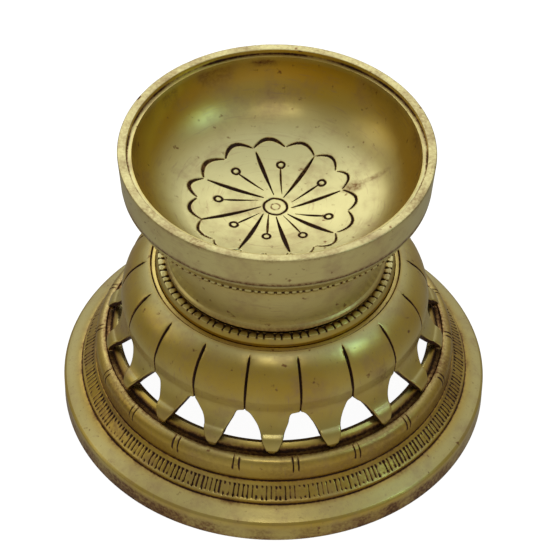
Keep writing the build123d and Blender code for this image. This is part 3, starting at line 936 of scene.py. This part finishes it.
@dataclass
class LotusSkirt:
    """Cast dome whose lower half is pierced into petals, with a chiselled line above each gap."""

    bore_r: float = 11.0
    well_r: float = 36.0
    well_drop: float = 5.2
    seat_drop: float = 1.2
    seat_out_r: float = 38.7
    shoulder_r: float = 40.5
    thickness: float = 3.0
    tip_share: float = 0.62
    apex_drop: float = 18.9
    tip_half: float = 1.55
    outer_round: float = 0.70
    inner_round: float = 0.45
    line_half: float = 0.46
    line_depth: float = 0.8
    line_reach: float = 18.0
    thin_from: float = 18.0
    bruise_drop: float = 15.0
    spacing: float = 0.42

    # outer line below the shoulder: arcs through these radii and drops below the skirt's top
    DOME = ((47.2, 5.6), (50.08, 13.94))
    HOLLOW = ((49.75, 17.9), (50.55, 22.2), (52.8, 25.5))
    CURL = ((54.75, 27.1), (55.7, 29.9))
    TIP = (55.35, 31.95)
    # degrees about the axis of the bruised petal
    BRUISE_AT = -46
    # half a gap's outline: how far down from its apex, and half its width there
    GAP = ((0.0, 0.0), (0.15, 0.7), (0.4, 1.3), (1.2, 2.1), (2.5, 2.9), (3.8, 3.7), (5.3, 4.7), (6.6, 5.5),
           (7.6, 6.1), (8.6, 6.65), (9.5, 7.1), (10.6, 7.55), (11.8, 7.95), (14.0, 8.3))
    # places of the first half of a petal's columns, as shares of its width, close at the filed edge
    COLUMNS = (0.0, 0.008, 0.019, 0.034, 0.054, 0.080, 0.12, 0.20, 0.33, 0.50)

    def build(self) -> bpy.types.Object:
        """Shapes the petals, thickens the sheet, cuts the lines and finishes it.

        Returns:
            The skirt's mesh object.
        """
        low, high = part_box("lotus_skirt")
        self.top_z, self.low_z = high.z / MM, low.z / MM
        self.divisions = self._divisions()
        self.rows = self._meridian()
        piece = self._join([self._petal(index) for index in range(len(self.divisions))])
        sheet = len(piece.data.vertices)
        self._thicken(piece)
        self._chisel(piece, sheet)
        radius, height, _ = round_axis(places(piece))
        down = self.top_z - height
        # painted shade: the skirt next to the collar's foot is painted deeper yellow; the dome share is the
        # dome's own deeper yellow
        fillet = fade(radius, self.shoulder_r + 1.2, self.shoulder_r - 0.2) * (down < 3)
        dome = fade(down, 1.0, 5.0) * fade(down, 14, 8)
        paint(piece, self._tarnish_and_shade(piece), np.maximum(0.6 * fillet, 0.45 * dome))
        smooth(piece)
        finish_piece(piece, CAST_BRASS.material(), "stand", "lotus_skirt")
        return piece

    def _join(self, petals: list[bpy.types.Object]) -> bpy.types.Object:
        """Joins the petals into one sheet and welds them along their seams."""
        deselect_all()
        for petal in petals:
            petal.select_set(True)
        bpy.context.view_layer.objects.active = petals[0]
        bpy.ops.object.join()
        piece = bpy.context.object
        piece.name = piece.data.name = "lotus_petals"
        bpy.ops.object.mode_set(mode="EDIT")
        bpy.ops.mesh.select_all(action="SELECT")
        bpy.ops.mesh.remove_doubles(threshold=SEAM_WELD)
        bpy.ops.mesh.normals_make_consistent(inside=False)
        bpy.ops.object.mode_set(mode="OBJECT")
        self._face_outwards(piece)
        return piece

    def _thicken(self, piece: bpy.types.Object) -> None:
        """Thickens the sheet inwards, thinner at the petals' tips, and rounds the filed edges."""
        sheet = len(piece.data.vertices)
        outward, edge = facing(piece), self._take_edge(piece)
        thinning = piece.vertex_groups.new(name="thinning")
        weights = fade(places(piece)[:, 2], self.low_z + 3, self.top_z - self.thin_from)
        for vertex, weight in enumerate(weights):
            thinning.add([vertex], float(weight), "REPLACE")
        apply_modifier(piece, "SOLIDIFY", thickness=self.thickness * MM, offset=-1.0, use_rim=True,
                       use_even_offset=True, vertex_group=thinning.name,
                       thickness_vertex_group=self.tip_share)
        piece.vertex_groups.clear()
        at = places(piece)
        at[:sheet] -= outward * self._rounding(edge, self.outer_round)[:, None]
        at[sheet:] += outward * self._rounding(edge, self.inner_round)[:, None]
        put(piece, at)

    def _divisions(self) -> list[float]:
        """Degrees of each gap between petals, from the stated openings of the record."""
        angles = []
        for opening in frame["record"]["physics"]["openings"]:
            if opening["name"].startswith("petal_gap"):
                low, high = opening["box_m"]
                angles.append(math.degrees(math.atan2(low[1] + high[1], low[0] + high[0])))
        return sorted(angles)

    def _meridian(self) -> list[Point]:
        """Outer line of the skirt from the bore over the shoulder down to the petal tip."""
        crown_z = self.top_z - self.well_drop
        seat_z = self.top_z - self.seat_drop
        points = contour([
            (self.bore_r, crown_z, 0, 1), (self.well_r, crown_z, 0.3, 5), (self.well_r, seat_z, 0.15, 1.5),
            (self.seat_out_r, seat_z, 0.1, 1), (self.seat_out_r + 0.1, self.top_z - 0.12, 0.15, 0.6),
            (self.shoulder_r - 0.55, self.top_z - 0.4, 0.2, 0.4),
            (self.shoulder_r - 0.3, self.top_z - 0.75, 0.1, 0.2),
            (self.shoulder_r, self.top_z - 0.05, 0, 0.3)], closed=False, turn_step=30)
        start = points[-1]
        dome_mid, dome_end = map(self._below, self.DOME)
        points += bend(start, dome_mid, dome_end, self.spacing)
        waist, hollow, knee = map(self._below, self.HOLLOW)
        points += run(dome_end, waist, self.spacing) + bend(waist, hollow, knee, self.spacing)
        brow, lip = map(self._below, self.CURL)
        points += bend(knee, brow, lip, self.spacing * 0.8)
        return points + run(lip, self._below(self.TIP), self.spacing * 0.5)

    def _below(self, place: Point) -> Point:
        """Radius and height of a place given by radius and drop below the top."""
        return (place[0], self.top_z - place[1])

    def _gap(self, index: int, rows: np.ndarray) -> tuple[np.ndarray, np.ndarray]:
        """Half widths in millimetres of one gap, to either side; no two gaps were filed alike.

        Args:
            index: Which gap.
            rows: Radius and height of every row of the petal's grid.

        Returns:
            Half width towards the smaller angles, and towards the larger.
        """
        rng = np.random.default_rng(100 + index % len(self.divisions))
        apex = self.top_z - self.apex_drop + rng.uniform(-0.7, 0.7)
        broad, skew = rng.uniform(0.55, 1.25), rng.uniform(-1.0, 1.0)
        down = apex - rows[:, 1]
        depth, half = np.array(self.GAP).T
        shaped = np.interp(down, depth, half * np.interp(depth, (0, 4, 14), (broad, 1.0, 1.0)))
        lean = skew * fade(down, 5.0, 0.0)
        open_here = down > 0
        return (np.where(open_here, np.maximum(shaped - lean, 0.0), 0.0),
                np.where(open_here, np.maximum(shaped + lean, 0.0), 0.0))

    def _petal(self, index: int) -> bpy.types.Object:
        """One petal as a grid, wrapped onto the dome between two divisions."""
        rows = np.array(self.rows)
        half = list(self.COLUMNS)
        columns = np.array(half + [1 - value for value in reversed(half[:-1])])
        bpy.ops.mesh.primitive_grid_add(x_subdivisions=len(columns) - 1, y_subdivisions=len(rows) - 1,
                                        size=2)
        petal = bpy.context.object
        flat = places(petal) * MM
        column = np.rint((flat[:, 0] + 1) / 2 * (len(columns) - 1)).astype(int)
        row = np.rint((1 - flat[:, 1]) / 2 * (len(rows) - 1)).astype(int)
        left = self.divisions[index]
        right = self.divisions[(index + 1) % len(self.divisions)]
        pitch = (right - left) % 360.0
        open_left = np.degrees(np.arcsin(self._gap(index, rows)[1] / rows[:, 0]))
        open_right = np.degrees(np.arcsin(self._gap(index + 1, rows)[0] / rows[:, 0]))
        middle = left + (pitch + open_left - open_right) / 2
        width = (pitch - open_left - open_right) / 2
        to_tip = np.append(np.cumsum(np.hypot(*np.diff(rows[::-1], axis=0).T))[::-1], 0.0)
        tip = self.tip_half
        round_end = tip * np.sqrt(np.clip(1 - (1 - to_tip / tip) ** 2, 0.10, 1))
        limit = np.where(to_tip < tip, round_end, FAR)
        width = np.minimum(np.maximum(width, np.degrees(tip / rows[:, 0])), np.degrees(limit / rows[:, 0]))
        angle = np.radians(middle[row] + (columns[column] * 2 - 1) * width[row])
        put(petal, np.stack([rows[row, 0] * np.cos(angle), rows[row, 0] * np.sin(angle), rows[row, 1]], 1))
        span = 2 * np.radians(width) * rows[:, 0]
        from_left = np.where(open_left[row] > 0, columns[column] * span[row], FAR)
        from_right = np.where(open_right[row] > 0, (1 - columns[column]) * span[row], FAR)
        edge = petal.data.attributes.new("edge", "FLOAT", "POINT")
        nearest = np.minimum.reduce([from_left, from_right, to_tip[row]])
        edge.data.foreach_set("value", nearest.astype(np.float32))
        return petal

    def _take_edge(self, piece: bpy.types.Object) -> np.ndarray:
        """Millimetres from each vertex of the sheet to the petal's filed edge; drops the attribute."""
        values = np.empty(len(piece.data.vertices), dtype=np.float32)
        layer = piece.data.attributes["edge"]
        layer.data.foreach_get("value", values)
        piece.data.attributes.remove(layer)
        return values.astype(float)

    def _rounding(self, edge: np.ndarray, radius: float) -> np.ndarray:
        """How far a rounded edge falls back, at distances in millimetres from it."""
        short = np.clip(radius - edge, 0, radius)
        return radius - np.sqrt(radius * radius - short * short)

    def _face_outwards(self, piece: bpy.types.Object) -> None:
        """Turns the sheet's faces outwards if the operator left them inwards."""
        at, normal = places(piece), facing(piece)
        dome = (at[:, 2] < self.top_z - 6) & (at[:, 2] > self.top_z - 14)
        if outwardness(at[dome], normal[dome]).sum() < 0:
            pick(piece)
            bpy.ops.object.mode_set(mode="EDIT")
            bpy.ops.mesh.select_all(action="SELECT")
            bpy.ops.mesh.flip_normals()
            bpy.ops.object.mode_set(mode="OBJECT")

    def _line_at(self, at: np.ndarray) -> tuple[np.ndarray, np.ndarray]:
        """Millimetres to the nearest division line, and the line's strength at that height."""
        radius, height, angle = round_axis(at)
        down = self.top_z - height
        gap = np.full(len(at), FAR)
        strength = np.zeros(len(at))
        for index, division in enumerate(self.divisions):
            rng = np.random.default_rng(300 + index)
            bow, lean = rng.uniform(-0.35, 0.35), rng.uniform(-0.15, 0.15)
            start, full = rng.uniform(0.3, 0.8), rng.uniform(1.8, 3.0)
            drift = bow * np.sin(np.clip(down / self.apex_drop, 0, 1) * math.pi)
            drift += lean * (1 - down / self.line_reach)
            here = np.abs(np.radians(wrap(angle - division)) * radius - drift)
            closer = here < gap
            force = fade(down, start, full) * (1 - 0.5 * fade(down, 7.0, 17.0)) * rng.uniform(0.85, 1.15)
            strength = np.where(closer, force, strength)
            gap = np.where(closer, here, gap)
        on_dome = (radius > self.shoulder_r) & (down > 0.2) & (down < self.apex_drop + 1.2)
        return gap, strength * on_dome

    def _chisel(self, piece: bpy.types.Object, sheet: int) -> None:
        """Cuts the division lines into the outer sheet, whose vertices come first."""
        gap, strength = self._line_at(places(piece))
        half = self.line_half * (0.35 + 0.65 * strength)
        depth = self.line_depth * strength * np.clip(1.05 - gap / half, 0, 1)
        depth += 0.16 * np.minimum(strength, 1.0) * np.exp(-(gap / 1.3) ** 2)
        depth[sheet:] = 0.0
        cut_in(piece, depth)

    def _tarnish_and_shade(self, piece: bpy.types.Object) -> np.ndarray:
        """Grime in the lines and round the collar, with painted shade on the filed edges, inside and where
        the tips stand on the base.
        """
        at, normal = places(piece), facing(piece)
        radius, height, angle = round_axis(at)
        out = outwardness(at, normal) / np.maximum(radius, 1e-6)
        gap, strength = self._line_at(at)
        half = self.line_half * (0.35 + 0.65 * strength)
        grime_and_shade = fade(gap / half, 1.25, 0.55) * np.minimum(strength * 1.4, 1)
        cove = near_line(radius, height, (self.shoulder_r - 0.3, self.top_z - 0.75), 0.42)
        grime_and_shade = np.maximum(grime_and_shade, cove * (0.75 + 0.25 * ripple(angle, 17, 20)))
        joint = near_line(radius, height, (self.seat_out_r, self.top_z - 0.4), 0.5)
        grime_and_shade = np.maximum(grime_and_shade, 0.15 * joint)
        # painted shade: the petals' cut side faces below the gap apexes are painted dark
        flat_out = np.hypot(normal[:, 0], normal[:, 1])
        sideways = fade(np.abs(out) / np.maximum(flat_out, 1e-6), 0.72, 0.35) * (np.abs(normal[:, 2]) < 0.8)
        pierced = fade(height, self.low_z + 0.8, self.low_z + 3.5)
        pierced *= height < self.top_z - self.apex_drop + 1.5
        grime_and_shade = np.maximum(grime_and_shade, 0.75 * sideways * pierced)
        bruise = np.exp(-((wrap(angle - self.BRUISE_AT) / 4.5) ** 2
                          + ((height - self.top_z + self.bruise_drop) / 5.5) ** 2))
        grime_and_shade = np.maximum(grime_and_shade, 0.26 * bruise)
        # painted shade: the inside of the skirt, the faces turned down and the well under the collar are
        # painted dark
        inside = (out < -0.15) & (height < self.top_z - 1) | (normal[:, 2] < -0.75)
        well = (radius < self.well_r + 0.5) & (height > self.top_z - 9)
        grime_and_shade = np.where(inside | well, 0.93, grime_and_shade)
        # painted shade: the bottom of each petal tip, where it stands on the base, is painted dark
        seat = fade(height, self.low_z + 1.0, self.low_z)
        return np.maximum(grime_and_shade, 0.55 * seat)


# ---------------------------------------------------------------- base

@dataclass
class BasePlinth:
    """Stepped round base: seat for the petals, ringed moulding, hatched band and wide flange."""

    ledge_in_r: float = 50.65
    seat_drop: float = 2.1
    torus_r: float = 59.0
    torus_top_r: float = 55.5
    divide: Point = (58.75, 16.2)
    band_in: Point = (59.8, 15.0)
    band_out: Point = (63.1, 11.9)
    bead: Point = (63.7, 11.5)
    groove: Point = (63.75, 10.35)
    flange_out_z: float = 7.6
    edge_inset: float = 0.02
    foot_r: float = 65.5
    hatches: int = 256
    pairs: int = 18
    pair_gap: float = 0.85
    facets: int = 1280

    # radius of the corner where the petals stand, painted dark as painted shade
    TROUGH_R = 53.6
    # pairs struck well off their place: which pair, and degrees
    PAIR_SHIFTS = {3: -1.5, 5: -3.0, 6: -1.6, 7: -1.0}

    def build(self) -> bpy.types.Object:
        """Turns the base, chisels the hatching and the paired strokes, and finishes it.

        Returns:
            The base's mesh object.
        """
        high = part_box("base_ring")[1]
        self.edge_r, self.top_z = high.x / MM - self.edge_inset, high.z / MM
        piece = turned("base_plinth", self._outline(), self.facets)
        self.radius, self.height, self.angle = round_axis(places(piece))
        band_depth, band_grime = self._hatching()
        pair_depth, pair_grime = self._pairs()
        cut_in(piece, np.maximum(band_depth, pair_depth))
        paint(piece, np.maximum.reduce([band_grime, pair_grime, self._lines()]), self._yellowing_and_shade())
        smooth(piece)
        finish_piece(piece, CAST_BRASS.material(), "stand", "base_ring")
        return piece

    def _outline(self) -> list[Point]:
        """Section of the base, from the ledge outwards, down the side and back underneath."""
        top, edge = self.top_z, self.edge_r
        seat = top - self.seat_drop
        return contour([
            (self.ledge_in_r, top - 4.5, 0, 9), (self.ledge_in_r, top, 0.25, 5), (51.9, top, 0.2, 1.2),
            (53.4, seat + 0.9, 0, 1.2), (53.7, seat - 0.25, 0, 1.2),
            (self.torus_top_r - 0.2, seat - 0.2, 0, 1.0), (self.torus_top_r + 0.2, seat + 0.15, 0, 0.6),
            (self.torus_r, seat + 0.15, 3.1, 0.6), (self.torus_r + 0.1, self.divide[1] + 0.9, 0, 0.7),
            (*self.divide, 0, 0.6), (self.divide[0] + 0.55, self.divide[1] - 0.2, 0, 0.7),
            (self.band_in[0] - 0.1, self.band_in[1] + 0.25, 0, 0.7), (*self.band_in, 0, 0.3),
            (*self.band_out, 0, 0.47), (*self.bead, 0.3, 0.5), (*self.groove, 0, 0.6),
            (self.groove[0] + 0.5, self.groove[1] - 0.1, 0, 0.6),
            (edge - 0.75, self.flange_out_z + 0.2, 0.5, 1.4), (edge, self.flange_out_z - 0.55, 0.5, 0.6),
            (edge, 0.0, 0.35, 2.4), (self.foot_r, 0.0, 0, 5), (self.foot_r, 3.6, 0, 4)], turn_step=22)

    def _along_band(self) -> tuple[np.ndarray, np.ndarray]:
        """Millimetres out along the hatched band, and whether a vertex is on it."""
        run_r, run_z = self.band_out[0] - self.band_in[0], self.band_out[1] - self.band_in[1]
        length = math.hypot(run_r, run_z)
        from_r, from_z = self.radius - self.band_in[0], self.height - self.band_in[1]
        along = (from_r * run_r + from_z * run_z) / length
        off = np.abs(from_r * run_z - from_z * run_r) / length
        return along, (off < 0.15) & (along > 0.0) & (along < length)

    def _hatching(self) -> tuple[np.ndarray, np.ndarray]:
        """Depth and grime of the struck wedges, each pair meeting point to point in a hairline."""
        along, on_band = self._along_band()
        length = math.dist(self.band_in, self.band_out)
        gap, force = stroke_row(self.angle, self.hatches, 0.11, 51)
        gap_mm = np.abs(np.radians(gap)) * self.radius
        share = np.clip(along / length, 0, 1)
        inner_power = np.clip(force * (1.0 + 0.25 * ripple(self.angle, 61, 6)), 0.45, 1.25)
        outer_power = np.clip(force * (0.85 + 0.4 * ripple(self.angle, 62, 5)), 0.15, 1.15)
        inner = 0.50 * inner_power * np.clip(1 - share / 0.44, 0, 1)
        outer = 0.42 * outer_power * np.clip((share - 0.58) / 0.42, 0, 1)
        hair = 0.18 * np.minimum(inner_power, outer_power)
        half = np.maximum.reduce([inner, outer, hair]) * on_band
        reach = gap_mm / np.maximum(half, 0.05)
        deep = np.clip(half * 1.5, 0.0, 0.5) * np.clip(1.1 - reach, 0, 1)
        dark = fade(reach, 1.35, 0.6) * np.clip(half / 0.16, 0.3, 1.0)
        return np.where(on_band, deep, 0.0), np.where(on_band, dark, 0.0)

    def _pairs(self) -> tuple[np.ndarray, np.ndarray]:
        """Depth and grime of the pair of strokes below each gap between petals."""
        depth, grime_and_shade = np.zeros(len(self.radius)), np.zeros(len(self.radius))
        seat = self.top_z - self.seat_drop
        down = seat - self.height
        moulding = (self.radius > self.torus_top_r + 0.3) & (self.height > self.band_in[1] + 2.0)
        for index in range(self.pairs):
            rng = np.random.default_rng(500 + index)
            centre = 360.0 / self.pairs * index - 180.0 + rng.uniform(-1.2, 0.8)
            centre += self.PAIR_SHIFTS.get(index, 0.0)
            for side in (-1, 1):
                lean = rng.uniform(-0.07, 0.07)
                away = np.radians(wrap(self.angle - centre)) * self.radius - side * self.pair_gap
                gap = np.abs(away - lean * down)
                ends = fade(self.radius, 56.4 + rng.uniform(-0.2, 0.4), 57.2)
                ends *= fade(down, 4.6 + rng.uniform(-0.6, 0.4), 3.6)
                depth = np.maximum(depth, moulding * 0.32 * ends * np.clip(1.1 - gap / 0.22, 0, 1))
                grime_and_shade = np.maximum(grime_and_shade, moulding * ends * fade(gap, 0.30, 0.12))
        return depth, grime_and_shade

    def _lines(self) -> np.ndarray:
        """Grime in the turned lines, with painted shade under the petals and on the hidden inside."""
        seat = self.top_z - self.seat_drop
        wander = 0.85 + 0.15 * ripple(self.angle, 71, 15)
        grime_and_shade = np.zeros(len(self.radius))
        # painted shade: the corner under the petal tips and the inner wall below the ledge are painted dark
        for at, reach, dark in (((self.TROUGH_R, seat), 0.95, 1.0), ((self.torus_top_r, seat), 0.55, 0.75),
                                (self.divide, 0.42, 1.0), (self.groove, 0.42, 1.0),
                                ((self.ledge_in_r, self.top_z - 1.2), 0.9, 0.6)):
            grime_and_shade = np.maximum(grime_and_shade, dark * wander * near_line(self.radius, self.height, at, reach))
        uneven = np.clip(0.6 + 0.6 * ripple(self.angle, 79, 40), 0, 1.4)
        # the wide halo round the corner under the petals is painted shade too
        for at, reach, dark in (((self.TROUGH_R, seat), 2.2, 0.24), (self.divide, 1.3, 0.30),
                                (self.groove, 1.7, 0.30)):
            grime_and_shade = np.maximum(grime_and_shade, dark * uneven * near_line(self.radius, self.height, at, reach))
        moulding = fade(self.radius, self.groove[0] + 0.3, self.groove[0]) * fade(self.radius, 53.5, 54.5)
        grime_and_shade = np.maximum(grime_and_shade, moulding * np.clip(0.17 + 0.05 * ripple(self.angle, 77, 20), 0, 0.4))
        side = (self.radius > self.edge_r - 0.4) & (self.height < self.flange_out_z - 1)
        patchy = 0.29 + 0.08 * ripple(self.angle, 73, 6) + 0.06 * ripple(self.angle, 75, 50)
        corner = 0.12 * fade(self.height, 1.6, 0.2)
        grime_and_shade = np.where(side, np.clip(patchy + corner, 0, 0.5), grime_and_shade)
        # painted shade: the inside and the underside are painted dark
        inside = self.radius < self.ledge_in_r + 0.06
        under = self.height < self.top_z - 4.4 - (self.radius - self.ledge_in_r) * 1.15
        return np.where(inside | (under & (self.radius < self.foot_r + 0.2)), 0.92, grime_and_shade)

    def _yellowing_and_shade(self) -> np.ndarray:
        """Deep yellow in the moulding's hollows and along the flange beside its groove, with deeper yellow
        as painted shade under the petals and across the front of the flange.
        """
        seat = self.top_z - self.seat_drop
        amber_and_shade = np.zeros(len(self.radius))
        # the corner under the petals gets deeper yellow as painted shade; the other hollows are patina
        for at, reach, much in (((self.TROUGH_R, seat), 2.6, 0.8), (self.divide, 1.8, 0.8),
                                (self.groove, 2.6, 0.7)):
            amber_and_shade = np.maximum(amber_and_shade, much * near_line(self.radius, self.height, at, reach))
        inner = 0.45 * fade(self.radius, self.groove[0] + 0.4, self.groove[0])
        # painted shade: the front half of the flange is painted deeper yellow
        front = 0.35 * fade(np.abs(wrap(self.angle + 90)), 75, 25) * (self.height > self.flange_out_z - 1)
        return np.clip(np.maximum.reduce([amber_and_shade, inner, front]) + 0.10 * ripple(self.angle, 81, 6), 0, 1)


# ---------------------------------------------------------------- fixing

@dataclass
class ScrewFixing:
    """Stud, nut, washer and bush inside the stand, kept as designed."""

    nodes: tuple[str, ...] = ("foot_stud", "stud_nut", "seat_washer", "threaded_bush")

    def dress(self) -> None:
        """Gives the four pieces dull brass."""
        material = FIXING_BRASS.material()
        for name in self.nodes:
            node = frame["nodes"][name]
            node.data.materials.clear()
            node.data.materials.append(material)
            LOG.info("%s: dressed as designed", name)


# ---------------------------------------------------------------- studio

@dataclass
class Studio:
    """Pale floor, soft lights and the camera."""

    lens: float = 191.4
    distance: float = 967.6
    elevation: float = 45.16
    roll: float = 1.0
    aim_x: float = 1.6
    aim_z: float = 47.8

    def build(self) -> None:
        """Sets up the floor, the surroundings, the lights and the camera."""
        self._floor()
        self._surroundings()
        self._light("window_back", (-0.25, 1.15, 1.05), (1.5, 0.8), 3.2, (1.0, 0.99, 0.95))
        self._light("window_left", (-1.25, 0.1, 0.75), (0.6, 0.9), 0.9, (1.0, 0.98, 0.93))
        self._light("window_right", (0.95, -0.35, 0.95), (0.24, 0.5), 1.3, (0.42, 0.82, 1.0))
        self._light("ceiling", (0.0, -0.68, 1.50), (0.34, 0.16), 1.1, (1.0, 0.98, 0.94))
        self._camera()

    def _floor(self) -> None:
        """A pale table top, lit from within like a light table."""
        deselect_all()
        bpy.ops.mesh.primitive_plane_add(size=12.0)
        floor = bpy.context.object
        floor.name = "floor"
        material = bpy.data.materials.new("pale_floor")
        material.use_nodes = True
        shader = material.node_tree.nodes["Principled BSDF"]
        shader.inputs["Base Color"].default_value = (0.30, 0.30, 0.30, 1.0)
        shader.inputs["Roughness"].default_value = 0.9
        shader.inputs["Emission Color"].default_value = (1.0, 1.0, 1.0, 1.0)
        shader.inputs["Emission Strength"].default_value = 0.95
        floor.data.materials.append(material)
        floor.visible_glossy = False

    def _surroundings(self) -> None:
        """A room that is light above and behind, and dim and warm towards the floor and the viewer."""
        world = bpy.data.worlds.new("room")
        bpy.context.scene.world = world
        world.use_nodes = True
        tree = world.node_tree
        background = tree.nodes["Background"]
        coords = tree.nodes.new("ShaderNodeTexCoord")
        lean = tree.nodes.new("ShaderNodeVectorMath")
        lean.operation = "DOT_PRODUCT"
        lean.inputs[1].default_value = (0.0, 0.66, 0.75)
        tree.links.new(coords.outputs["Generated"], lean.inputs[0])
        spread = tree.nodes.new("ShaderNodeMapRange")
        spread.inputs["From Min"].default_value = -1.0
        tree.links.new(lean.outputs["Value"], spread.inputs["Value"])
        ramp = tree.nodes.new("ShaderNodeValToRGB")
        ramp.color_ramp.elements[0].position = 0.0
        ramp.color_ramp.elements[0].color = (0.47, 0.45, 0.43, 1)
        ramp.color_ramp.elements[1].position = 1.0
        ramp.color_ramp.elements[1].color = (0.68, 0.71, 0.73, 1)
        for position, level in ((0.30, 0.36), (0.50, 0.27), (0.76, 0.34), (0.90, 0.56)):
            element = ramp.color_ramp.elements.new(position)
            element.color = (level, level * 0.97, level * 0.90, 1)
        tree.links.new(spread.outputs["Result"], ramp.inputs["Fac"])
        tree.links.new(ramp.outputs["Color"], background.inputs["Color"])

    def _light(self, name: str, place: tuple[float, float, float], size: tuple[float, float],
               power: float, colour: tuple[float, float, float]) -> None:
        """A soft rectangular light aimed at the object."""
        data = bpy.data.lights.new(name, "AREA")
        data.shape = "RECTANGLE"
        data.size, data.size_y = size
        data.energy = power
        data.color = colour
        light = bpy.data.objects.new(name, data)
        bpy.context.scene.collection.objects.link(light)
        towards = Vector((0, 0, 0.05)) - Vector(place)
        aim = towards.to_track_quat("-Z", "Y").to_matrix().to_4x4()
        light.matrix_world = Matrix.Translation(place) @ aim

    def _camera(self) -> None:
        """A long lens looking down at the bowl."""
        data = bpy.data.cameras.new("camera")
        data.lens = self.lens
        data.clip_start = 0.05
        camera = bpy.data.objects.new("camera", data)
        bpy.context.scene.collection.objects.link(camera)
        tilt = math.radians(self.elevation)
        place = Vector((self.aim_x, -self.distance * math.cos(tilt),
                        self.aim_z + self.distance * math.sin(tilt))) * MM
        tip = Matrix.Rotation(math.pi / 2 - tilt, 4, "X")
        roll = Matrix.Rotation(math.radians(self.roll), 4, "Z")
        camera.matrix_world = Matrix.Translation(place) @ tip @ roll
        bpy.context.scene.camera = camera


def corners(bounds: Sequence[Vector]) -> list[list[float]]:
    """A box as plain lists of numbers."""
    return [[float(value) for value in corner] for corner in bounds]


def main() -> None:
    """Builds every piece of the lamp in order, then the studio."""
    logging.basicConfig(level=logging.INFO, format="%(name)s %(message)s")
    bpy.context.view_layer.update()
    BasePlinth().build()
    LotusSkirt().build()
    Collar().build()
    Foot().build()
    Bowl().build()
    ScrewFixing().dress()
    Studio().build()
    bpy.context.scene.view_settings.view_transform = "Standard"


if __name__ == "__main__":
    main()
